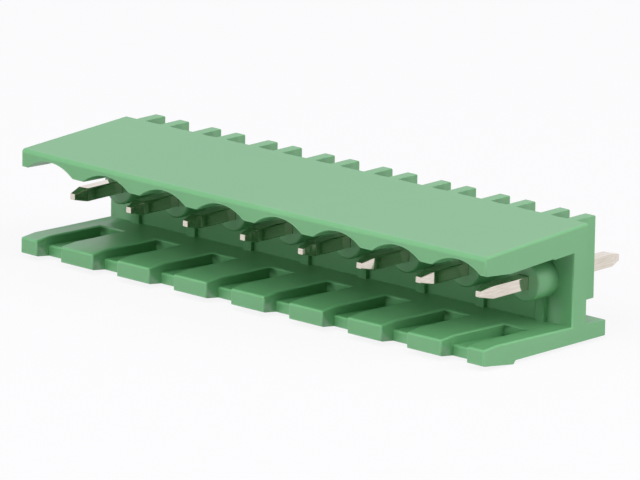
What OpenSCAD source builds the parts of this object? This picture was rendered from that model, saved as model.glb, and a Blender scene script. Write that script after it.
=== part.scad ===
// Pluggable terminal block header with straight solder pins and open ends.
// +X runs along the row of poles, +Y towards the circuit board, +Z up from the coding side to the arched side.
// The origin is the middle of the pin row, on the plane where the header seats on the board.

/* [Row] */
// Number of poles
poles = 8; // [2:1:16]
// Distance from pole to pole
pitch = 5.08; // [4.9:0.02:5.5]

/* [Pins] */
// Side of the square pin
pin_w = 0.9; // [0.7:0.05:1.1]
// Distance from the housing's front edge to the pin's tip
tip_setback = 2.25; // [1.5:0.05:3]
// Length of the pointed contact end
tip_taper = 0.95; // [0.5:0.05:1.5]
// Side of the square end face at the contact end
tip_w = 0.42; // [0.2:0.02:0.6]
// Length of the solder tail behind the board's plane
tail_len = 4.05; // [2.5:0.05:6]
// Length of the pointed solder end
tail_taper = 1.1; // [0.5:0.05:1.5]
// Side of the square end face at the solder end
tail_w = 0.42; // [0.2:0.02:0.6]
// Clearance on each side of a pin in the back wall
pin_clearance = 0.01; // [0.005:0.005:0.05]

/* [Back wall] */
// Height of the front edge above the board
seat_height = 12; // [11:0.1:14]
// Space between the back wall and the board
stand_off = 2; // [1:0.1:3]
// Thickness of the back wall
wall_t = 1.33; // [1:0.01:1.8]
// Diameter of the boss round a pin
boss_d = 2.64; // [2:0.02:3]
// Length of a boss in front of the back wall
boss_len = 2; // [1:0.05:2.6]
// Chamfer on the front rim of a boss
boss_chamfer = 0.15; // [0.05:0.05:0.3]
// Width of the rib that carries a boss
boss_rib_w = 0.72; // [0.5:0.02:1]
// How far the rib under a boss stands out from the wall
boss_rib_h = 0.32; // [0.1:0.01:0.6]

/* [Stand-off ribs] */
// Distance between the two ribs of a pole, middle to middle
rib_spacing = 2.17; // [2:0.01:2.6]
// Thickness of a rib
rib_t = 0.82; // [0.6:0.02:1]
// Distance of a rib's lower end below the pin axis
rib_drop = 1.76; // [1.2:0.02:2.2]
// Radius on the upper board-side corner of a rib
rib_corner_r = 0.12; // [0.05:0.01:0.5]

/* [Top plate] */
// Height of the plate's rear edge above the pin axis
top_h = 3.745; // [3.6:0.005:4.2]
// Lean of the plate, down towards the front
top_lean = 2.95; // [0:0.05:4]
// Thickness of the plate between two arches
lobe_t = 1.59; // [1.4:0.01:1.75]
// Radius of the arch over each pin
arch_r = 3.2; // [2.9:0.05:4]
// Thickness of the plate over the crown of an arch
crown_t = 0.51; // [0.4:0.01:0.8]
// How far the rear part of the plate is thicker
step_h = 0.08; // [0.02:0.01:0.15]
// Length of the thicker rear part in front of the back wall
step_len = 1.95; // [1:0.05:2.6]
// Length of the lead-in on the underside
top_lead_len = 2.5; // [0.8:0.05:3.2]
// Height of the lead-in at the front edge
top_lead_h = 0.36; // [0.1:0.01:0.5]
// Radius on the plate's upper front edge
plate_edge_r = 0.28; // [0.1:0.01:0.35]

/* [Floor] */
// Distance from the pin axis down to the floor, behind the lead-in
floor_drop = 2.7; // [2.5:0.02:3.2]
// Thickness of the floor where it seats on the board
floor_t = 1.05; // [0.9:0.01:1.4]
// Fall of the floor from the lead-in to the board
floor_fall = 0.3; // [0:0.02:0.4]
// Length of the lead-in on the floor's front edge
floor_lead_len = 1.3; // [0.5:0.05:2]
// Height of the lead-in on the floor's front edge
floor_lead_h = 0.12; // [0.05:0.01:0.3]
// Rise of the underside at the front edge
underside_rise = 0.155; // [0.05:0.005:0.3]
// Distance of the latch ridge's crest from the front edge
ridge_setback = 2.95; // [2:0.05:4]
// Height of the latch ridge under the floor
ridge_h = 0.235; // [0.1:0.005:0.4]
// Length of the steep rear face of the latch ridge
ridge_back = 0.22; // [0.1:0.02:0.5]

/* [Coding slots] */
// Width of a slot
slot_w = 2.15; // [1.6:0.05:2.6]
// Distance from the front edge to the closed end of a slot
slot_len = 6.15; // [5:0.05:6.4]
// Distance from the front edge to the slot's own floor
slot_open_len = 1.19; // [0.6:0.01:2]
// Depth of a slot at its front, below the floor
slot_front_depth = 0.61; // [0.3:0.01:0.9]
// Depth of a slot at its closed end, below the floor
slot_rear_depth = 0.8; // [0.4:0.01:0.9]

/* [Hidden] */
// Smoothness of round shapes
$fn = 64;
// Overlap and over-reach that keep joined and cut shapes clean
reach = 1;

row_len = poles * pitch;
front_y = -seat_height;
wall_rear_y = -stand_off;
wall_front_y = wall_rear_y - wall_t;
boss_front_y = wall_front_y - boss_len;
step_y = wall_front_y - step_len;

// Heights along the floor's upper face, which falls evenly behind the lead-in
floor_lead_y = front_y + floor_lead_len;
function floor_z(y) = -floor_drop - floor_fall * (y - floor_lead_y) / -floor_lead_y;
floor_front_z = -floor_drop - floor_lead_h;
underside_z = floor_z(0) - floor_t;
underside_front_z = underside_z + underside_rise;

// Heights along the top plate, measured down from its upper face
function top_z(y, depth = 0) = top_h + (y - wall_rear_y) * tan(top_lean) - depth;

function pole_x(i) = (i - (poles - 1) / 2) * pitch;

// Extrudes a section drawn in the Y-Z plane along X, evenly about x = 0
module along_x(length) {
    rotate([90, 0, 90])
        linear_extrude(height = length, center = true)
            children();
}

// Section of the open channel: floor with latch ridge, back wall and top plate
module channel_section() {
    ridge_y = front_y + ridge_setback;
    top_lead_y = front_y + top_lead_len;
    edge_y = front_y + plate_edge_r;
    edge_z = top_z(edge_y) - plate_edge_r;
    union() {
        polygon([
            [front_y, floor_front_z],
            [front_y, underside_front_z],
            [ridge_y, underside_z - ridge_h],
            [ridge_y + ridge_back, underside_z],
            [0, underside_z],
            [0, floor_z(0)],
            [wall_rear_y, floor_z(wall_rear_y)],
            [wall_rear_y, top_z(wall_rear_y)],
            [edge_y, edge_z + plate_edge_r],
            [edge_y, edge_z],
            [front_y, edge_z],
            [front_y, top_z(front_y, lobe_t - top_lead_h)],
            [top_lead_y, top_z(top_lead_y, lobe_t)],
            [step_y, top_z(step_y, lobe_t)],
            [step_y, top_z(step_y, lobe_t + step_h)],
            [wall_front_y, top_z(wall_front_y, lobe_t + step_h)],
            [wall_front_y, floor_z(wall_front_y)],
            [floor_lead_y, floor_z(floor_lead_y)],
        ]);
        translate([edge_y, edge_z])
            circle(r = plate_edge_r);
    }
}

// Round channel under the top plate, along its lean, from the front edge to the back wall
module arch_cut() {
    length = wall_front_y - front_y;
    crown_z = top_z(wall_front_y, crown_t);
    intersection() {
        translate([0, wall_front_y, crown_z - arch_r])
            rotate([90 + top_lean, 0, 0])
                translate([0, 0, -reach])
                    cylinder(r = arch_r, h = length + 2 * reach + arch_r);
        translate([-pitch / 2, front_y - reach, top_z(wall_front_y, lobe_t + step_h) - reach])
            cube([pitch, length + reach, top_h]);
    }
}

// Coding slot, open at the front, with a ramped floor of its own
module slot_cut() {
    open_y = front_y + slot_open_len;
    end_y = front_y + slot_len;
    top = -floor_drop + reach;
    low = underside_z - ridge_h - reach;
    along_x(slot_w)
        polygon([
            [front_y - reach, low],
            [open_y, low],
            [open_y, -floor_drop - slot_front_depth],
            [end_y, floor_z(end_y) - slot_rear_depth],
            [end_y, top],
            [front_y - reach, top],
        ]);
}

// Gap in the latch ridge under a slot, so that the ridge stands under the blocks alone
module ridge_gap_cut() {
    length = ridge_setback + ridge_back + reach;
    translate([-slot_w / 2, front_y - reach, underside_z - ridge_h - reach])
        cube([slot_w, length + reach, ridge_h + reach]);
}

// Boss round one pin, with a chamfered rim
module boss() {
    straight = boss_len - boss_chamfer + reach / 2;
    translate([0, wall_front_y + reach / 2, 0])
        rotate([90, 0, 0]) {
            cylinder(d = boss_d, h = straight);
            translate([0, 0, straight])
                cylinder(d1 = boss_d, d2 = boss_d - 2 * boss_chamfer, h = boss_chamfer);
        }
}

// Rib on the back wall that carries a boss from the floor
module boss_rib() {
    low = floor_z(wall_front_y) - floor_t / 2;
    translate([-boss_rib_w / 2, wall_front_y - boss_rib_h, low])
        cube([boss_rib_w, boss_rib_h + reach / 2, -low]);
}

// One of the two ribs behind each pole that stand on the board
module stand_off_rib() {
    low = -rib_drop;
    high = top_z(wall_rear_y);
    root_y = wall_rear_y - wall_t / 2;
    along_x(rib_t)
        union() {
            polygon([
                [root_y, low],
                [0, low],
                [0, high - rib_corner_r],
                [-rib_corner_r, high - rib_corner_r],
                [-rib_corner_r, high],
                [wall_rear_y, high],
                [root_y, top_z(root_y)],
            ]);
            translate([-rib_corner_r, high - rib_corner_r])
                circle(r = rib_corner_r);
        }
}

// Square hole for a pin through the back wall and the boss
module pin_hole() {
    side = pin_w + 2 * pin_clearance;
    translate([-side / 2, boss_front_y - reach, -side / 2])
        cube([side, boss_len + wall_t + 2 * reach, side]);
}

module housing() {
    color("mediumseagreen")
        difference() {
            union() {
                difference() {
                    along_x(row_len) channel_section();
                    for (i = [0 : poles - 1])
                        translate([pole_x(i), 0, 0]) {
                            arch_cut();
                            slot_cut();
                            ridge_gap_cut();
                        }
                }
                for (i = [0 : poles - 1])
                    translate([pole_x(i), 0, 0]) {
                        boss();
                        boss_rib();
                        for (side = [-1, 1])
                            translate([side * rib_spacing / 2, 0, 0])
                                stand_off_rib();
                    }
            }
            for (i = [0 : poles - 1])
                translate([pole_x(i), 0, 0])
                    pin_hole();
        }
}

// Outline of a pin from above and from the side, pointed at both ends
module pin_outline() {
    tip_y = front_y + tip_setback;
    half = [
        [tip_w / 2, tip_y],
        [pin_w / 2, tip_y + tip_taper],
        [pin_w / 2, tail_len - tail_taper],
        [tail_w / 2, tail_len],
    ];
    polygon([
        each half,
        for (k = [len(half) - 1 : -1 : 0]) [-half[k].x, half[k].y],
    ]);
}

// Square pin: the same outline from above and from the side
module pin(i) {
    color("gainsboro")
        translate([pole_x(i), 0, 0])
            intersection() {
                linear_extrude(height = pin_w, center = true)
                    pin_outline();
                rotate([0, 90, 0])
                    linear_extrude(height = pin_w, center = true)
                        pin_outline();
            }
}

housing();
for (i = [0 : poles - 1])
    pin(i);
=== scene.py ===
"""Pluggable terminal block header: moulding and tinned pins in studio light, seen as in the photo."""
import math

import bmesh
import bpy
from mathutils import Matrix, Vector


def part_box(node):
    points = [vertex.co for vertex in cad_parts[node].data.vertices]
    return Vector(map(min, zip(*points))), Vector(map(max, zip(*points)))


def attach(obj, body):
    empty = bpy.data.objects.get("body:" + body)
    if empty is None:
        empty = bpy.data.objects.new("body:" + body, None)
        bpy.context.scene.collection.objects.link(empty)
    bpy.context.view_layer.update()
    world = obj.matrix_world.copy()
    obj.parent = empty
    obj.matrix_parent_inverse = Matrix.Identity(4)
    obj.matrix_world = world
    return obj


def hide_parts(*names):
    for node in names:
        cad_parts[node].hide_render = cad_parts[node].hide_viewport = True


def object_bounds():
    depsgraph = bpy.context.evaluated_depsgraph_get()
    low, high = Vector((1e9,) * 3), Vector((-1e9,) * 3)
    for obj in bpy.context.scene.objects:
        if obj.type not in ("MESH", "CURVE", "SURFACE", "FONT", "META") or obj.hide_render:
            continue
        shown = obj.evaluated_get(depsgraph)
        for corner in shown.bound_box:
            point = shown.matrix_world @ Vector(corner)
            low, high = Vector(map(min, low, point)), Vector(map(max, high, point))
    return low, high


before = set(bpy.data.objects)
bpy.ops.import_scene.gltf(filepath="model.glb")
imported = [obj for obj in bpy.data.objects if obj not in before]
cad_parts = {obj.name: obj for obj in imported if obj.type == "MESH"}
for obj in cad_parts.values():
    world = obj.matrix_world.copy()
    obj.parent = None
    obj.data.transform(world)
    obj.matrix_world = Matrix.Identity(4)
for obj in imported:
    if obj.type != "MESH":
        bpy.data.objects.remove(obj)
cad_low, cad_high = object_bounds()
housing_low, housing_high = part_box("housing")
POLES = len(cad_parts) - 1
PITCH = (housing_high.x - housing_low.x) / POLES
END_X = housing_high.x
FRONT_Y = housing_low.y

MM = 0.001
# Distances under which points are welded, count as lying on a face, or count as lying on a cut
WELD = 0.001 * MM
NEAR = 0.005 * MM
TINY = 0.0001 * MM
# Faces that meet at a smaller angle are one flat face
FLAT_ANGLE = math.radians(0.3)

# Top plate of the housing, as the solid has it
WALL_FRONT_Y = -3.33 * MM
WALL_REAR_Y = -2 * MM
TOP_H = 3.745 * MM
TOP_LEAN = math.radians(2.95)
LOBE_T = 1.59 * MM
ARCH_R = 3.2 * MM
CROWN_T = 0.51 * MM
STEP_H = 0.08 * MM
STEP_LEN = 1.95 * MM
LEAD_LEN = 2.5 * MM
LEAD_H = 0.36 * MM
# Height that parts the top plate from the bosses below it
PLATE_LOW_Z = 1.5 * MM
# The plate's front edge hangs a little low in the middle, more so towards the left
SAG = 0.11 * MM
SAG_SKEW = 0.5

# Radii of the moulded edges, by place
PLATE_R = 0.28 * MM
PLATE_END_R = 0.14 * MM
PLATE_CORNER_R = 0.12 * MM
RIM_R = 0.12 * MM
BLOCK_R = 0.13 * MM
WALL_END_R = 0.08 * MM
UNDER_R = 0.04 * MM
REAR_R = 0.05 * MM
BOSS_RIB_R = 0.03 * MM
EDGE_SEGMENTS = 4
# The rounded edges take the second of the moulding's two materials, a paler green that paints a highlight
# along them
EDGE_SLOT = 1
# Only edges that turn by more are rounded, and by no more than this share of the faces beside them
SHARP_ANGLE = math.radians(60)
ROOM_SHARE = 0.4
# Places by which the edges are told apart
HOLE_HALF = 0.47 * MM
BOSS_RIB_HALF = 0.4 * MM
BOSS_RIB_OUT = 0.4 * MM
UNDERSIDE_Z = -3.95 * MM
SLOT_HALF = 1.08 * MM

# Pins: pointed ends with crisp shoulders, the contact points coined a little narrower at the top
TIP_TAPER = 1.06 * MM
TIP_HALF = 0.21 * MM
TIP_LEAN = math.tan(math.radians(2.6))
LEAN_FADE = 0.27 * MM
TAIL_TAPER = 0.98 * MM
TAIL_HALF = 0.21 * MM
SHOULDER_BLEND = 0.02 * MM
PIN_CORNER_R = 0.06 * MM
TIP_NOSE_R = 0.03 * MM
TAIL_NOSE_R = 0.12 * MM
# Steps along a nose, along a taper, on each side of a shoulder, and round a corner of the section
NOSE_STEPS = 4
TAPER_STEPS = 4
SHOULDER_STEPS = 3
CORNER_STEPS = 4
# Points close beside the rounded corners keep the pin's faces flat in reflections
CORNER_SUPPORT = 0.02 * MM

# Camera, as the photograph was taken: nearly level, from the front right, with a long lens
VIEW_AZIMUTH = math.radians(41.651)
VIEW_ELEVATION = math.radians(14.353)
VIEW_ROLL = math.radians(1.014)
VIEW_DISTANCE = 583.812 * MM
VIEW_AIM = Vector((1.034, -6.135, -0.160)) * MM
VIEW_LENS = 503.555
SENSOR_W = 36
CLIP_SPAN = 100

# Finish of the plastic: the two greens of its flow, a painted highlight that makes the rounded edges paler,
# its gloss, and its fine skin
GREEN_DEEP = (0.125, 0.363, 0.155, 1)
GREEN_PALE = (0.141, 0.383, 0.171, 1)
EDGE_HIGHLIGHT_TONE = 1.15
FLOW_SCALE = 120
FLOW_DETAIL = 3
FLOW_SPAN = (0.35, 0.65)
PLASTIC_ROUGH = (0.38, 0.46)
PLASTIC_SPECULAR = 0.9
SKIN_SCALE = 9000
SKIN_DETAIL = 2
SKIN_STRENGTH = 0.15
SKIN_DEPTH = 0.01 * MM

# Finish of the pins: two shades of tin over brass, with marks drawn out along the pin
TIN_DEEP = (0.66, 0.605, 0.525, 1)
TIN_PALE = (0.78, 0.72, 0.635, 1)
TIN_ROUGH = (0.04, 0.1)
MARKS_STRETCH = (9000, 700, 9000)
MARKS_DETAIL = 3
MARKS_SPAN = (0.3, 0.7)
MARKS_STRENGTH = 0.04
MARKS_DEPTH = 0.005 * MM

# Room and floor: nearly pure white where they are seen, weak or matt as light
ROOM_FILL = 0.02
ROOM_WHITE = (0.995, 0.985, 1, 1)
FLOOR_COLOUR = (0.9, 0.9, 0.9, 1)
FLOOR_ROUGH = 0.9
FLOOR_SIZE = 3
FLOOR_SHADOW = 0.12

# Large soft lamps: azimuth from the front towards the right, elevation, and level on a face turned to it
TOP_LAMP = (50, 65, 0.57)
RIGHT_LAMP = (115, 25, 0.60)
FRONT_LAMP = (-15, 32, 0.63)
REAR_LAMP = (-138, 45, 0.07)
REAR_COLOUR = (0.86, 0.96, 1.1)
LAMP_DISTANCE = 0.6
LAMP_SIZE = 0.5


def new_object(name, data):
    """Object that shows this data, linked to the scene."""
    made = bpy.data.objects.new(name, data)
    bpy.context.scene.collection.objects.link(made)
    return made


def mesh_object(name, bm, smooth=True):
    """Object made of a finished mesh."""
    mesh = bpy.data.meshes.new(name)
    bm.to_mesh(mesh)
    bm.free()
    for polygon in mesh.polygons:
        polygon.use_smooth = smooth
    return new_object(name, mesh)


def weigh_normals(made, keep_sharp):
    """Shades an object so that its large faces look flat."""
    normals = made.modifiers.new("normals", "WEIGHTED_NORMAL")
    normals.keep_sharp = keep_sharp


def aimed(azimuth, elevation, distance, roll=0):
    """Place at a distance from the aim point and turned to it, by angles in radians."""
    turn = Matrix.Rotation(azimuth, 4, "Z")
    tilt = Matrix.Rotation(math.pi / 2 - elevation, 4, "X")
    spin = Matrix.Rotation(roll, 4, "Z")
    back = Matrix.Translation((0, 0, distance))
    return Matrix.Translation(VIEW_AIM) @ turn @ tilt @ spin @ back


# Housing

def sag(x, y):
    """How far the top plate hangs low: most at the front, nothing at the ends and the wall."""
    along = x / END_X
    out = max(0, (WALL_FRONT_Y - y) / (WALL_FRONT_Y - FRONT_Y))
    return SAG * (1 - along ** 2) * (1 - SAG_SKEW * along) * out


def plate_z(x, y, depth=0):
    """Height in the top plate, a depth below its leaning and slightly hanging upper face."""
    return TOP_H + (y - WALL_REAR_Y) * math.tan(TOP_LEAN) - depth - sag(x, y)


def pole_offset(x):
    """Distance of x from the middle of the pole that it belongs to."""
    return ((x - housing_low.x) / PITCH % 1 - 0.5) * PITCH


def cut_flat(bm, point, normal, keep=lambda edge: True):
    """Splits the mesh along a plane, and marks the new edges so that they stay."""
    everything = bm.verts[:] + bm.edges[:] + bm.faces[:]
    made = bmesh.ops.bisect_plane(bm, geom=everything, dist=TINY, plane_co=point, plane_no=normal)
    for part in made["geom_cut"]:
        if isinstance(part, bmesh.types.BMEdge) and keep(part):
            part.seam = True


def arch_half(depth):
    """Half the width of an arch where it meets a lobe of that depth."""
    rise = CROWN_T + ARCH_R - depth
    return math.sqrt(ARCH_R ** 2 - rise ** 2)


def plate_stations():
    """Places along the plate from the wall to the front edge, each with the lobes' depth there."""
    step_y = WALL_FRONT_Y - STEP_LEN
    return [
        (step_y + STEP_H / 2, LOBE_T + STEP_H),
        (step_y - STEP_H / 2, LOBE_T),
        (FRONT_Y + LEAD_LEN, LOBE_T),
        (FRONT_Y, LOBE_T - LEAD_H),
    ]


def plate_column(bm, rear):
    """Points of the plate's underside from one point on the wall to the front edge."""
    offset = pole_offset(rear.co.x)
    if abs(abs(offset) - PITCH / 2) < WELD:
        offset = abs(offset)
    middle = rear.co.x - offset
    wall_half = arch_half(LOBE_T + STEP_H)
    column = [rear]
    for y, depth in plate_stations():
        half = arch_half(depth)
        if abs(offset) <= wall_half + WELD:
            share = math.asin(min(1, abs(offset) / ARCH_R)) / math.asin(wall_half / ARCH_R)
            angle = share * math.asin(half / ARCH_R)
            across = ARCH_R * math.sin(angle)
            here = CROWN_T + ARCH_R * (1 - math.cos(angle))
        else:
            share = (abs(offset) - wall_half) / (PITCH / 2 - wall_half)
            across = half + share * (PITCH / 2 - half)
            here = depth
        x = middle + math.copysign(across, offset)
        column.append(bm.verts.new((x, y, plate_z(x, y, here))))
    return column


def rebuild_plate(bm):
    """Takes the plate off at the wall and puts it back with even columns that the rounding can follow."""
    plate = [f for f in bm.faces if f.calc_center_median().y < WALL_FRONT_Y - TINY
             and f.calc_center_median().z > PLATE_LOW_Z]
    bmesh.ops.delete(bm, geom=plate, context="FACES")
    rim = {v for e in bm.edges if e.is_boundary for v in e.verts}
    middle_z = plate_z(0, WALL_FRONT_Y, CROWN_T / 2)
    upper = sorted((v for v in rim if v.co.z > middle_z), key=lambda v: v.co.x)
    lower = sorted((v for v in rim if v.co.z <= middle_z), key=lambda v: v.co.x)
    columns = [plate_column(bm, v) for v in lower]
    for a, b in zip(columns, columns[1:]):
        for k in range(len(a) - 1):
            bm.faces.new((a[k], b[k], b[k + 1], a[k + 1]))
    front = [bm.verts.new((v.co.x, FRONT_Y, plate_z(v.co.x, FRONT_Y))) for v in upper]
    for k in range(len(upper) - 1):
        bm.faces.new((upper[k], upper[k + 1], front[k + 1], front[k]))
        left = front[k].co.x - WELD
        right = front[k + 1].co.x + WELD
        lip = [c[-1] for c in columns if left <= c[-1].co.x <= right]
        bm.faces.new([front[k], front[k + 1]] + lip[::-1])
    for end in (0, -1):
        bm.faces.new(columns[end] + [front[end], upper[end]])
    bmesh.ops.recalc_face_normals(bm, faces=bm.faces)


def on_boss_rib(point):
    """Whether a point lies on one of the thin ribs that carry the bosses."""
    across = abs(pole_offset(point.x)) < BOSS_RIB_HALF
    return across and point.z < 0 and WALL_FRONT_Y - BOSS_RIB_OUT < point.y < WALL_FRONT_Y + NEAR


def plate_radius(points):
    """Radius of an outer edge of the top plate: large round its upper face, less at its corners and rim."""
    at_end = all(abs(p.x) > END_X - NEAR for p in points)
    if all(abs(p.z - plate_z(p.x, p.y)) < NEAR for p in points):
        return PLATE_END_R if at_end else PLATE_R
    if at_end:
        at_front = all(p.y < FRONT_Y + NEAR for p in points)
        return PLATE_CORNER_R if at_front else 0
    return RIM_R


def edge_radius(edge):
    """Radius of a moulded edge, by its place."""
    points = [v.co for v in edge.verts]
    middle = (points[0] + points[1]) / 2
    if all(abs(pole_offset(p.x)) < HOLE_HALF and abs(p.z) < HOLE_HALF for p in points):
        return 0
    if middle.y > WALL_REAR_Y - NEAR:
        at_plate_end = any(abs(p.x) > END_X - NEAR and p.z > PLATE_LOW_Z for p in points)
        return 0 if at_plate_end else REAR_R
    if on_boss_rib(middle):
        return BOSS_RIB_R
    if middle.z < UNDERSIDE_Z:
        return 0 if abs(pole_offset(middle.x)) < SLOT_HALF else UNDER_R
    if all(abs(p.y - WALL_FRONT_Y) < NEAR for p in points):
        return WALL_END_R
    if middle.z > PLATE_LOW_Z:
        return plate_radius(points)
    return BLOCK_R


def round_weight(edge):
    """Share of the largest radius that an edge takes, less where there is little room."""
    if not edge.is_manifold or edge.calc_face_angle_signed(0) < SHARP_ANGLE:
        return 0
    room = min(f.calc_area() / edge.calc_length() for f in edge.link_faces)
    return min(edge_radius(edge), ROOM_SHARE * room) / PLATE_R


def housing_mesh():
    """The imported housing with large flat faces, cut at the poles, and with its plate built anew."""
    bm = bmesh.new()
    bm.from_mesh(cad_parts["housing"].data)
    bmesh.ops.remove_doubles(bm, verts=bm.verts, dist=WELD)
    for k in range(1, 2 * POLES):
        cut_flat(bm, (housing_low.x + k * PITCH / 2, 0, 0), (1, 0, 0))
    cut_flat(bm, (0, WALL_FRONT_Y, 0), (0, 1, 0),
             keep=lambda e: min(v.co.z for v in e.verts) > PLATE_LOW_Z)
    bmesh.ops.dissolve_limit(bm, angle_limit=FLAT_ANGLE, verts=bm.verts, edges=bm.edges, delimit={"SEAM"})
    rebuild_plate(bm)
    return bm


def housing_moulding():
    """The housing with the small radii of a moulding on its outer edges."""
    bm = housing_mesh()
    layer = bm.edges.layers.float.new("bevel_weight_edge")
    for edge in bm.edges:
        edge[layer] = round_weight(edge)
        edge.smooth = edge[layer] > 0 or abs(edge.calc_face_angle_signed(0)) < SHARP_ANGLE
    moulding = mesh_object("housing_moulding", bm)
    rounding = moulding.modifiers.new("edges", "BEVEL")
    rounding.limit_method = "WEIGHT"
    rounding.width = PLATE_R
    rounding.segments = EDGE_SEGMENTS
    rounding.use_clamp_overlap = False
    rounding.material = EDGE_SLOT
    weigh_normals(moulding, keep_sharp=True)
    return moulding


# Pins

def smooth_min(a, b, blend):
    """The smaller of two values, with a rounded change-over."""
    return (a + b - math.sqrt((a - b) ** 2 + blend ** 2)) / 2


def nose_cut(distance, radius):
    """How much a rounded end takes off the pin's half side at a distance from the end."""
    if distance >= radius:
        return 0
    return radius - math.sqrt(radius ** 2 - (radius - distance) ** 2)


def pin_half(from_tip, from_tail, full):
    """Half the pin's side at a point, from its distances to the two ends."""
    tip = TIP_HALF + (full - TIP_HALF) * from_tip / TIP_TAPER
    tail = TAIL_HALF + (full - TAIL_HALF) * from_tail / TAIL_TAPER
    half = smooth_min(full, min(tip, tail), SHOULDER_BLEND)
    return half - nose_cut(from_tip, TIP_NOSE_R) - nose_cut(from_tail, TAIL_NOSE_R)


def pin_ring(bm, middle, half, lean):
    """Square with rounded corners across the pin, whose two sides lean in towards the top."""
    radius = min(PIN_CORNER_R, half / 2)
    inner = half - radius
    corner = [Vector((half, inner - CORNER_SUPPORT))]
    for k in range(CORNER_STEPS + 1):
        angle = k / CORNER_STEPS * math.pi / 2
        corner.append(Vector((inner + radius * math.cos(angle), inner + radius * math.sin(angle))))
    corner.append(Vector((inner - CORNER_SUPPORT, half)))
    ring = []
    for quarter in range(4):
        turn = Matrix.Rotation(quarter * math.pi / 2, 2)
        for point in (turn @ p for p in corner):
            across = point.x * (1 - lean * (point.y + half) / half)
            ring.append(bm.verts.new((middle.x + across, middle.y, middle.z + point.y)))
    return ring


def end_places(nose, taper):
    """Distances from one end at which the pin gets a ring: close together at the nose and the shoulder."""
    places = [nose * (1 - math.cos(k / NOSE_STEPS * math.pi / 2)) for k in range(NOSE_STEPS + 1)]
    places += [taper * k / TAPER_STEPS for k in range(1, TAPER_STEPS)]
    places += [taper + SHOULDER_BLEND * k for k in range(-SHOULDER_STEPS, SHOULDER_STEPS + 1)]
    return places


def tinned_pin(i):
    """Square pin with coined points."""
    low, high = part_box(f"pin_{i}")
    length = high.y - low.y
    full = (high.x - low.x) / 2
    places = end_places(TIP_NOSE_R, TIP_TAPER)
    places += [length - d for d in reversed(end_places(TAIL_NOSE_R, TAIL_TAPER))]
    bm = bmesh.new()
    rings = []
    for d in places:
        middle = Vector(((low.x + high.x) / 2, low.y + d, (low.z + high.z) / 2))
        lean = TIP_LEAN * min(1, max(0, (TIP_TAPER - d) / LEAN_FADE))
        rings.append(pin_ring(bm, middle, pin_half(d, length - d, full), lean))
    for a, b in zip(rings, rings[1:]):
        for k in range(len(a)):
            j = (k + 1) % len(a)
            bm.faces.new((a[k], a[j], b[j], b[k]))
    bm.faces.new(rings[0])
    bm.faces.new(rings[-1])
    bmesh.ops.recalc_face_normals(bm, faces=bm.faces)
    pin = mesh_object(f"tinned_pin_{i}", bm)
    weigh_normals(pin, keep_sharp=False)
    return pin


# Materials

def new_material(name):
    """Material with a node tree of its own, and that tree with its main shader."""
    material = bpy.data.materials.new(name)
    material.use_nodes = True
    tree = material.node_tree
    return material, tree, tree.nodes["Principled BSDF"]


def add_node(tree, kind, values):
    """New node with some of its inputs set."""
    node = tree.nodes.new(kind)
    for socket, value in values.items():
        node.inputs[socket].default_value = value
    return node


def add_noise(tree, place, scale, detail):
    """Socket with noise from 0 to 1 over a place."""
    noise = add_node(tree, "ShaderNodeTexNoise", {"Scale": scale, "Detail": detail})
    tree.links.new(place, noise.inputs["Vector"])
    return noise.outputs["Fac"]


def add_colour(tree, shader, level, span, colours):
    """Lets the colour run between two colours over a span of the level."""
    ramp = add_node(tree, "ShaderNodeValToRGB", {})
    for stop, position, colour in zip(ramp.color_ramp.elements, span, colours):
        stop.position = position
        stop.color = colour
    tree.links.new(level, ramp.inputs["Fac"])
    tree.links.new(ramp.outputs["Color"], shader.inputs["Base Color"])


def add_range(tree, level, low, high, target):
    """Lets a target socket run from a low to a high value with the level."""
    between = add_node(tree, "ShaderNodeMapRange", {"To Min": low, "To Max": high})
    tree.links.new(level, between.inputs["Value"])
    tree.links.new(between.outputs["Result"], target)


def add_bump(tree, shader, level, strength, depth):
    """Raises the surface a little with the level."""
    bump = add_node(tree, "ShaderNodeBump", {"Strength": strength, "Distance": depth})
    tree.links.new(level, bump.inputs["Height"])
    tree.links.new(bump.outputs["Normal"], shader.inputs["Normal"])


def toned(colour, tone):
    """A colour made lighter or darker."""
    return (*(channel * tone for channel in colour[:3]), 1)


def green_plastic(name, tone=1):
    """Moulded green plastic: satin, with faint flow in its colour and a very fine skin."""
    material, tree, shader = new_material(name)
    shader.inputs["Specular IOR Level"].default_value = PLASTIC_SPECULAR
    place = add_node(tree, "ShaderNodeTexCoord", {}).outputs["Object"]
    flow = add_noise(tree, place, FLOW_SCALE, FLOW_DETAIL)
    skin = add_noise(tree, place, SKIN_SCALE, SKIN_DETAIL)
    add_colour(tree, shader, flow, FLOW_SPAN, (toned(GREEN_DEEP, tone), toned(GREEN_PALE, tone)))
    add_range(tree, flow, *PLASTIC_ROUGH, shader.inputs["Roughness"])
    add_bump(tree, shader, skin, SKIN_STRENGTH, SKIN_DEPTH)
    return material


def tin_plate():
    """Bright tin over brass: warm grey metal with fine marks drawn along the pin."""
    material, tree, shader = new_material("tin_plate")
    shader.inputs["Metallic"].default_value = 1
    place = add_node(tree, "ShaderNodeTexCoord", {}).outputs["Object"]
    stretch = add_node(tree, "ShaderNodeMapping", {"Scale": MARKS_STRETCH})
    tree.links.new(place, stretch.inputs["Vector"])
    marks = add_noise(tree, stretch.outputs["Vector"], scale=1, detail=MARKS_DETAIL)
    add_colour(tree, shader, marks, MARKS_SPAN, (TIN_DEEP, TIN_PALE))
    add_range(tree, marks, *TIN_ROUGH, shader.inputs["Roughness"])
    add_bump(tree, shader, marks, MARKS_STRENGTH, MARKS_DEPTH)
    return material


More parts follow.
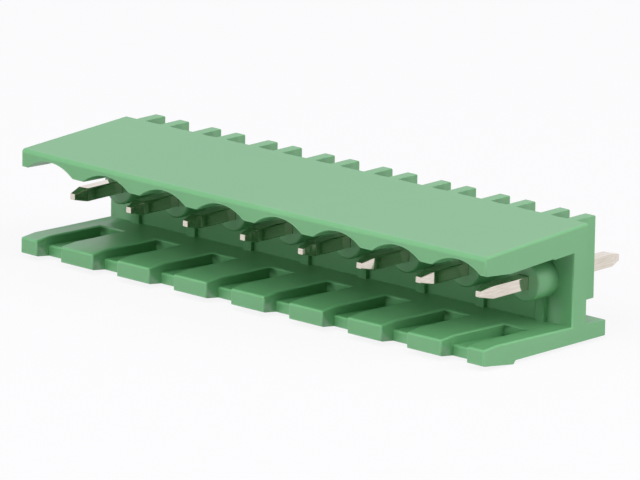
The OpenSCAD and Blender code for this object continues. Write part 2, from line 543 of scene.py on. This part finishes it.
def seen_rays(tree):
    """Socket that is 1 for rays that show the stage itself, and 0 for rays that gather its light."""
    path = add_node(tree, "ShaderNodeLightPath", {})
    seen = path.outputs["Is Camera Ray"]
    for kind in ("Is Glossy Ray", "Is Transmission Ray"):
        either = add_node(tree, "ShaderNodeMath", {})
        either.operation = "MAXIMUM"
        tree.links.new(seen, either.inputs[0])
        tree.links.new(path.outputs[kind], either.inputs[1])
        seen = either.outputs["Value"]
    return seen


def white_floor():
    """Matt white floor that is seen as nearly pure white, with a faint shadow."""
    material, tree, shader = new_material("white_floor")
    shader.inputs["Base Color"].default_value = FLOOR_COLOUR
    shader.inputs["Roughness"].default_value = FLOOR_ROUGH
    glow = add_node(tree, "ShaderNodeEmission", {"Color": ROOM_WHITE})
    mix = add_node(tree, "ShaderNodeMixShader", {})
    add_range(tree, seen_rays(tree), 0, 1 - FLOOR_SHADOW, mix.inputs["Fac"])
    tree.links.new(shader.outputs["BSDF"], mix.inputs[1])
    tree.links.new(glow.outputs["Emission"], mix.inputs[2])
    tree.links.new(mix.outputs["Shader"], tree.nodes["Material Output"].inputs["Surface"])
    return material


# Stage

def make_floor(height):
    """Wide floor that the part rests on."""
    bm = bmesh.new()
    bmesh.ops.create_grid(bm, x_segments=1, y_segments=1, size=FLOOR_SIZE)
    floor = mesh_object("floor", bm, smooth=False)
    floor.location.z = height
    floor.data.materials.append(white_floor())


def make_room():
    """White room: full white where it is seen, weaker as light."""
    world = bpy.data.worlds.new("studio")
    bpy.context.scene.world = world
    world.use_nodes = True
    tree = world.node_tree
    background = tree.nodes["Background"]
    background.inputs["Color"].default_value = ROOM_WHITE
    add_range(tree, seen_rays(tree), ROOM_FILL, 1, background.inputs["Strength"])


def make_lamp(name, azimuth, elevation, level):
    """Large soft lamp, aimed at the middle of the part. Gloss shows the white room instead of the lamp."""
    light = bpy.data.lights.new(name, "AREA")
    light.size = LAMP_SIZE
    light.energy = level * math.pi ** 2 * LAMP_DISTANCE ** 2
    lamp = new_object(name, light)
    lamp.matrix_world = aimed(math.radians(azimuth), math.radians(elevation), LAMP_DISTANCE)
    lamp.visible_camera = False
    lamp.visible_glossy = False
    return lamp


def make_camera():
    """Camera that frames the part as the photograph does."""
    camera = new_object("camera", bpy.data.cameras.new("camera"))
    camera.data.sensor_width = SENSOR_W
    camera.data.lens = VIEW_LENS
    camera.data.clip_start = VIEW_DISTANCE / CLIP_SPAN
    camera.data.clip_end = VIEW_DISTANCE * CLIP_SPAN
    camera.matrix_world = aimed(VIEW_AZIMUTH, VIEW_ELEVATION, VIEW_DISTANCE, VIEW_ROLL)
    bpy.context.scene.camera = camera


make_camera()
plastic = green_plastic("green_plastic")
# Paler copy of the plastic for the rounded edges: a painted highlight, not wear
edge_highlight_plastic = green_plastic("painted_edge_highlight_green_plastic", EDGE_HIGHLIGHT_TONE)
tin = tin_plate()

moulding = housing_moulding()
moulding.data.materials.append(plastic)
moulding.data.materials.append(edge_highlight_plastic)
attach(moulding, "root")
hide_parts("housing")

for number in range(1, POLES + 1):
    pin = tinned_pin(number)
    pin.data.materials.append(tin)
    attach(pin, "root")
    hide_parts(f"pin_{number}")

make_floor(cad_low.z)
make_room()
make_lamp("top_lamp", *TOP_LAMP)
make_lamp("right_lamp", *RIGHT_LAMP)
make_lamp("front_lamp", *FRONT_LAMP)
# The rear lamp alone shows in the gloss, as a cool glare on the top plate
rear_lamp = make_lamp("rear_lamp", *REAR_LAMP)
rear_lamp.data.color = REAR_COLOUR
rear_lamp.visible_glossy = True
bpy.context.scene.view_settings.view_transform = "Standard"
